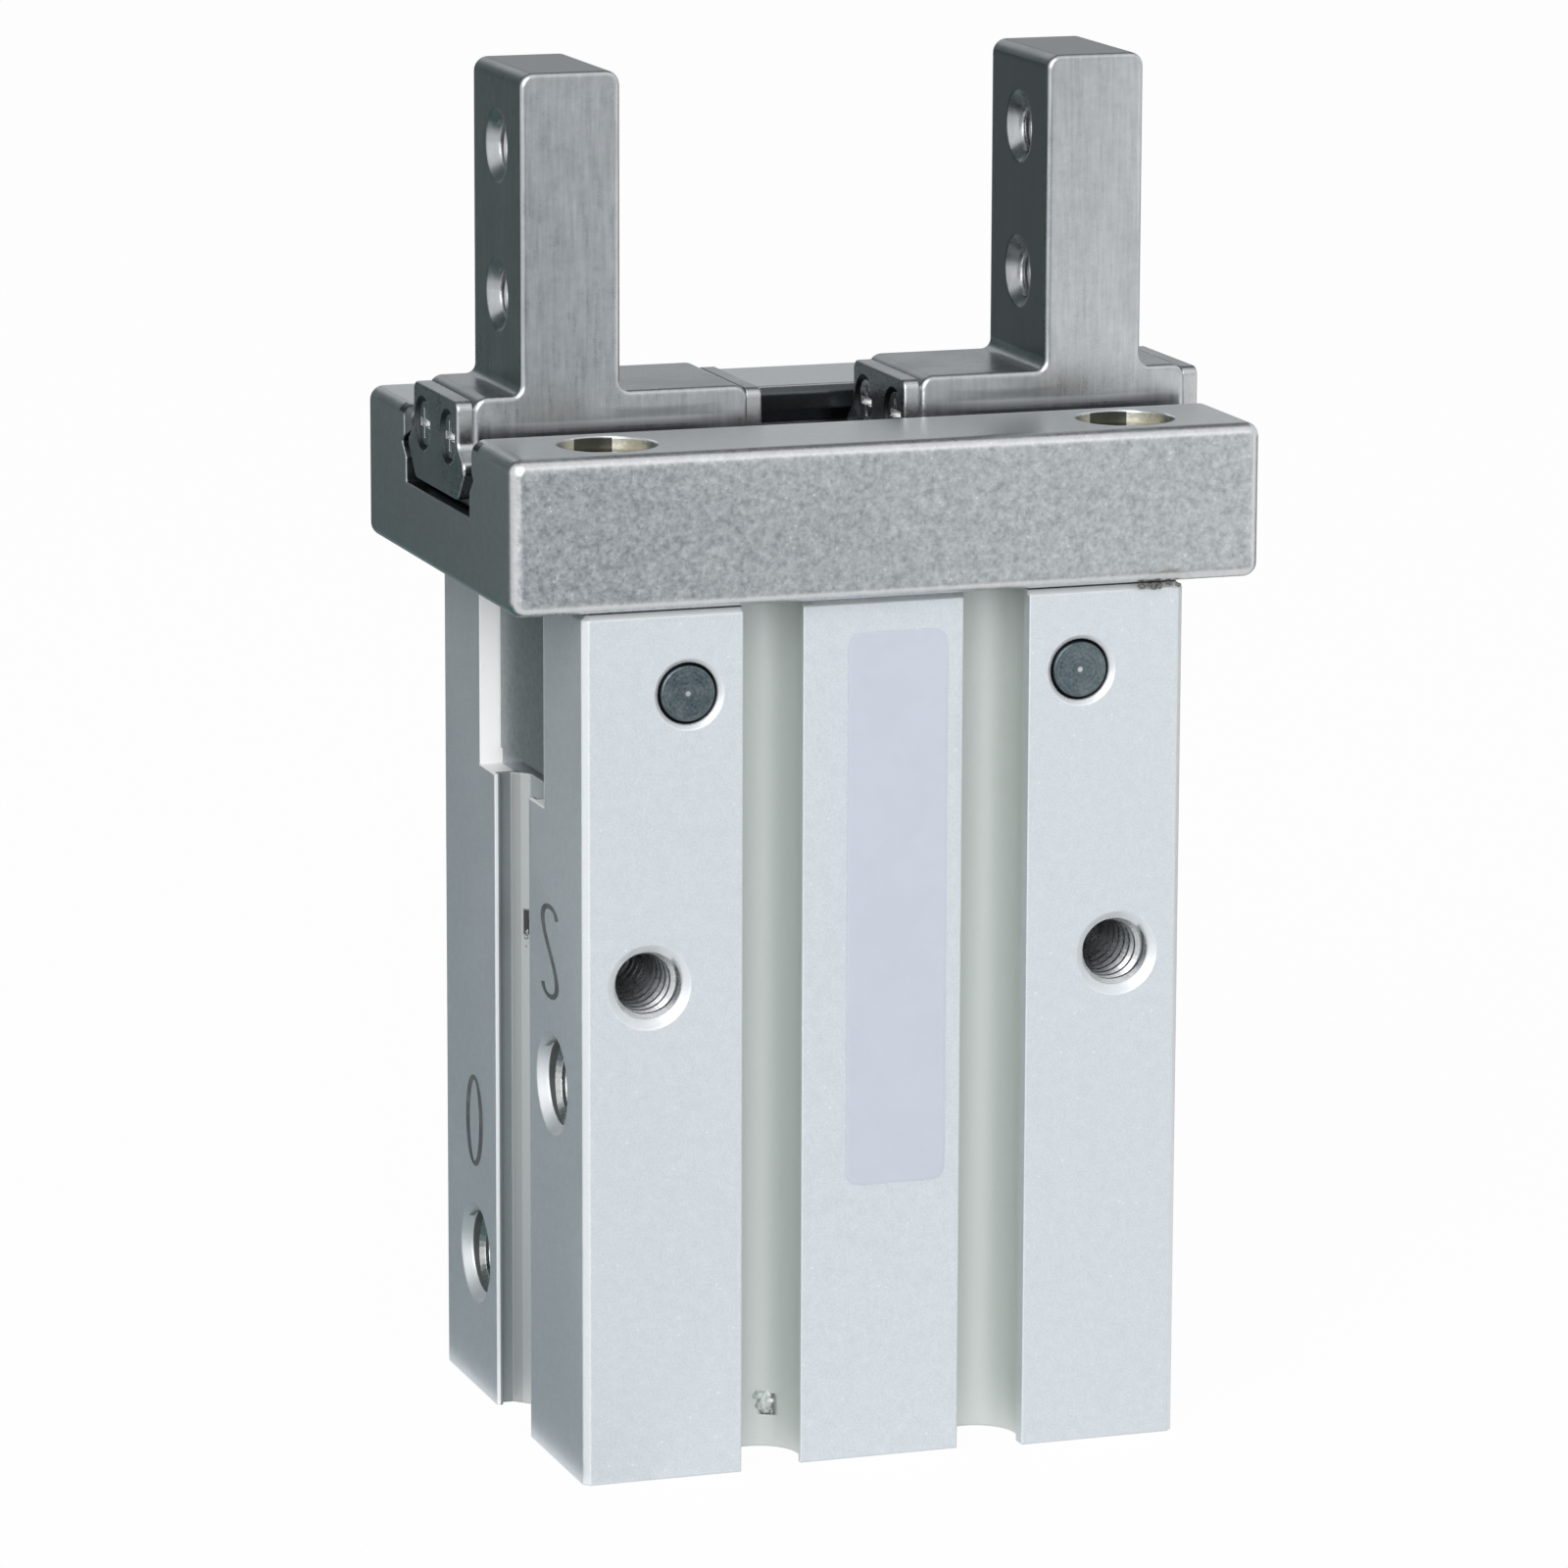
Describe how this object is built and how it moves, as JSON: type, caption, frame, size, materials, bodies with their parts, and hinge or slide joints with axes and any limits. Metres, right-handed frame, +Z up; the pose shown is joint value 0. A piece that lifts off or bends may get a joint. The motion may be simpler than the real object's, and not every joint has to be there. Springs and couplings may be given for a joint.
{
  "type": "pneumatic parallel gripper",
  "caption": "Pneumatic parallel gripper: grooved aluminium body with air ports on one side, steel roller guide on top and opposed tapped fingers that close together.",
  "frame": {"origin": "centre of the body's bottom face", "axes": "+Z up to the fingertips, X along the fingers' travel with the air ports on the -X face, the sticker's face is -Y"},
  "size_m": [0.0382, 0.025, 0.0678],
  "materials": {
    "anodised_aluminium": "bead-blasted and clear anodised, satin",
    "guide_steel": "blasted, satin",
    "finger_steel": "ground along its length",
    "plate_steel": "stamped, satin",
    "screw_steel": "bright plated",
    "bolt_zinc": "yellow zinc plated",
    "hardened_steel": "hardened and ground",
    "lever_steel": "dark heat-treated",
    "spring_steel": "phosphated, dark",
    "cap_aluminium": "turned",
    "piston_steel": "turned and anodised",
    "magnet_dark": "plastic-bonded magnet, matt",
    "seal_rubber": "moulded, matt"
  },
  "bodies": {
    "housing": {"body_block": "anodised_aluminium", "guide_rail": "guide_steel", "guide_bolts": "bolt_zinc", "guide_dowels": "hardened_steel", "left_lever_shaft": "hardened_steel", "right_lever_shaft": "hardened_steel", "rod_seal": "seal_rubber", "end_cap": "cap_aluminium", "end_cap_seal": "seal_rubber", "retaining_clip": "spring_steel"},
    "piston": {"piston": "piston_steel", "piston_seal": "seal_rubber", "piston_magnet": "magnet_dark", "rod_joint": "hardened_steel"},
    "left_finger": {"left_finger": "finger_steel", "left_outer_stopper": "plate_steel", "left_inner_stopper": "plate_steel", "left_stopper_screws": "screw_steel"},
    "left_lever": {"left_lever": "lever_steel", "left_needle_roller": "hardened_steel"},
    "left_rollers": {"left_front_rollers": "hardened_steel", "left_rear_rollers": "hardened_steel"},
    "right_finger": {"right_finger": "finger_steel", "right_outer_stopper": "plate_steel", "right_inner_stopper": "plate_steel", "right_stopper_screws": "screw_steel"},
    "right_lever": {"right_lever": "lever_steel", "right_needle_roller": "hardened_steel"},
    "right_rollers": {"right_front_rollers": "hardened_steel", "right_rear_rollers": "hardened_steel"}
  },
  "joints": [
    {"name": "piston_stroke", "type": "slide", "parent": "housing", "child": "piston", "axis": [0, 0, -1], "range_m": [0, 0.00259]},
    {"name": "left_finger_slide", "type": "slide", "parent": "housing", "child": "left_finger", "axis": [1, 0, 0], "range_m": [0, 0.0035]},
    {"name": "left_roller_slide", "type": "slide", "parent": "housing", "child": "left_rollers", "axis": [1, 0, 0], "range_m": [0, 0.00175]},
    {"name": "left_lever_pivot", "type": "hinge", "parent": "housing", "child": "left_lever", "pos_m": [-0.01, 0, 0.03881], "axis": [0, 1, 0], "range_deg": [0, 21.93]},
    {"name": "right_finger_slide", "type": "slide", "parent": "housing", "child": "right_finger", "axis": [-1, 0, 0], "range_m": [0, 0.0035]},
    {"name": "right_roller_slide", "type": "slide", "parent": "housing", "child": "right_rollers", "axis": [-1, 0, 0], "range_m": [0, 0.00175]},
    {"name": "right_lever_pivot", "type": "hinge", "parent": "housing", "child": "right_lever", "pos_m": [0.01, 0, 0.03881], "axis": [0, -1, 0], "range_deg": [0, 21.93]}
  ],
  "couplings": [
    {"joint": "left_finger_slide", "follows": "piston_stroke", "ratio": 1.3529},
    {"joint": "left_roller_slide", "follows": "piston_stroke", "ratio": 0.67647},
    {"joint": "left_lever_pivot", "follows": "piston_stroke", "rad_per_m": 147.96},
    {"joint": "right_finger_slide", "follows": "piston_stroke", "ratio": 1.3529},
    {"joint": "right_roller_slide", "follows": "piston_stroke", "ratio": 0.67647},
    {"joint": "right_lever_pivot", "follows": "piston_stroke", "rad_per_m": 147.96}
  ]
}
